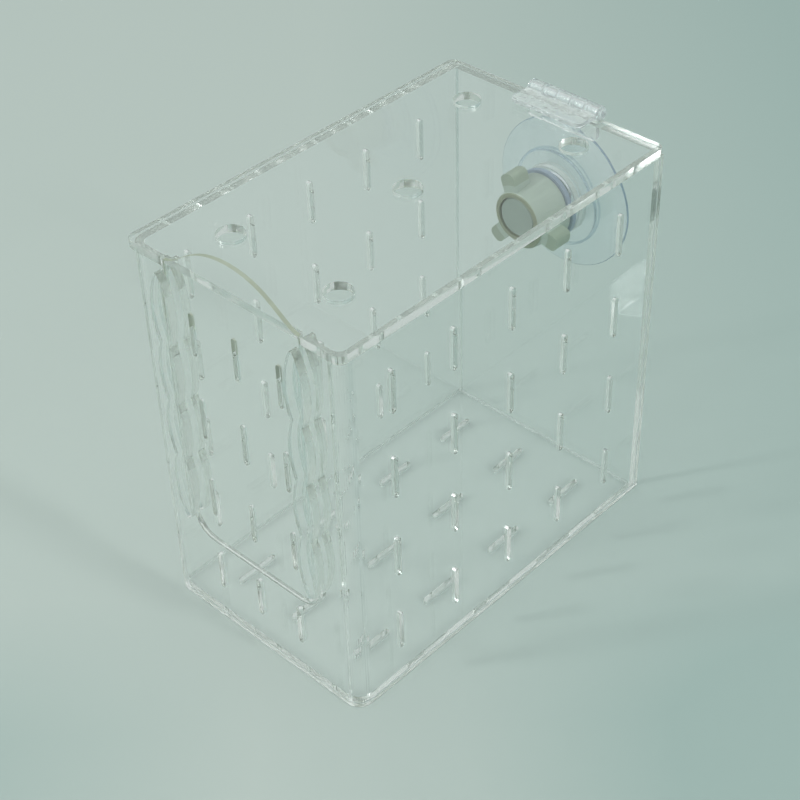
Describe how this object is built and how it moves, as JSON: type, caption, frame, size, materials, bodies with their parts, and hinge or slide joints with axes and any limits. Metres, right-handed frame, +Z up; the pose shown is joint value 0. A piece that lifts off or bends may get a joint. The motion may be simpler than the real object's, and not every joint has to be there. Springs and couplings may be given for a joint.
{
  "type": "fish acclimation box",
  "caption": "Clear slotted box with a hinged lid, a sliding front door with an arched grip, and a suction cup that holds it inside an aquarium.",
  "frame": {"origin": "middle of the floor panel's underside", "axes": "+X to the right of the door, +Y from the door to the back wall, +Z up"},
  "size_m": [0.094, 0.1635, 0.1608],
  "materials": {
    "clear_acrylic": "clear polished sheet",
    "door_acrylic": "clear thin sheet with frosted cut edges",
    "hinge_plastic": "clear moulded plastic",
    "soft_pvc": "clear soft plastic",
    "stud_plastic": "translucent grey",
    "washer_rubber": "blue-grey soft washer",
    "knob_plastic": "off-white translucent"
  },
  "bodies": {
    "base": {"wall_wrap": "clear_acrylic", "back_wall": "clear_acrylic", "floor_panel": "clear_acrylic", "outer_rail_left": "clear_acrylic", "outer_rail_right": "clear_acrylic", "inner_rail_left": "clear_acrylic", "inner_rail_right": "clear_acrylic", "hinge_wall_leaf": "hinge_plastic", "hinge_pin": "hinge_plastic", "suction_cup": "soft_pvc", "cup_stud": "stud_plastic"},
    "lid": {"lid_panel": "clear_acrylic", "hinge_lid_leaf": "hinge_plastic"},
    "door": {"door_panel": "door_acrylic"},
    "washer": {"sealing_washer": "washer_rubber"},
    "knob": {"knob_nut": "knob_plastic"}
  },
  "joints": [
    {"name": "lid_hinge", "type": "hinge", "parent": "base", "child": "lid", "pos_m": [0.004, 0.07745, 0.1515], "axis": [-1, 0, 0], "range_deg": [0, 110]},
    {"name": "door_slide", "type": "slide", "parent": "base", "child": "door", "axis": [0, 0, 1], "range_m": [0, 0.095]},
    {"name": "knob_travel", "type": "slide", "parent": "base", "child": "washer", "axis": [0, -1, 0], "range_m": [0, 0.0075]},
    {"name": "knob_turn", "type": "hinge", "parent": "washer", "child": "knob", "pos_m": [0, 0.07625, 0.11], "axis": [0, -1, 0], "range_deg": [0, 900]}
  ],
  "couplings": [
    {"joint": "knob_travel", "follows": "knob_turn", "m_per_rad": 0.00047746}
  ]
}
